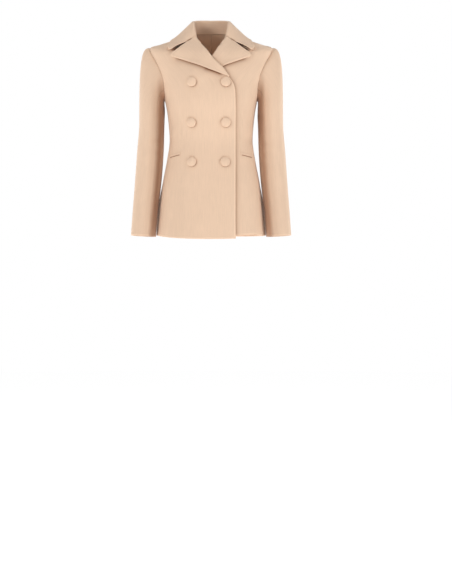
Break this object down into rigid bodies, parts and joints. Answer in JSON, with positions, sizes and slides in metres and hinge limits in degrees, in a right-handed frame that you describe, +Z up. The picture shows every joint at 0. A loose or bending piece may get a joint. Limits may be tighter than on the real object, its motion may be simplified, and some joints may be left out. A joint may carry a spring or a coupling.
{
  "type": "short fitted coat",
  "caption": "Short double-breasted coat with wide notched lapels, covered buttons and slanted pocket welts, in its hollow worn shape with the sleeves hanging.",
  "frame": {"origin": "centre of the wearer's neck at the height where the shoulder seams meet the collar", "axes": "+Z up, -Y out of the coat's front, +X to the wearer's left"},
  "size_m": [0.4914, 0.2637, 0.685],
  "materials": {
    "coat_cloth": "camel wool cloth, pressed smooth",
    "lapel_and_collar_cloth": "the same cloth, two layers with a pressed edge",
    "covered_button": "the same cloth stretched over a button form"
  },
  "bodies": {
    "root": {"back_left": "coat_cloth", "back_right": "coat_cloth", "front_left": "coat_cloth", "front_right": "coat_cloth", "side_panel_left": "coat_cloth", "side_panel_right": "coat_cloth", "lapel_left": "lapel_and_collar_cloth", "lapel_right": "lapel_and_collar_cloth", "collar": "lapel_and_collar_cloth", "sleeve_upper_left": "coat_cloth", "sleeve_upper_right": "coat_cloth", "sleeve_under_left": "coat_cloth", "sleeve_under_right": "coat_cloth", "pocket_welt_left": "coat_cloth", "pocket_welt_right": "coat_cloth", "button_top_outer": "covered_button", "button_top_inner": "covered_button", "button_middle_outer": "covered_button", "button_middle_inner": "covered_button", "button_bottom_outer": "covered_button", "button_bottom_inner": "covered_button"}
  },
  "joints": []
}
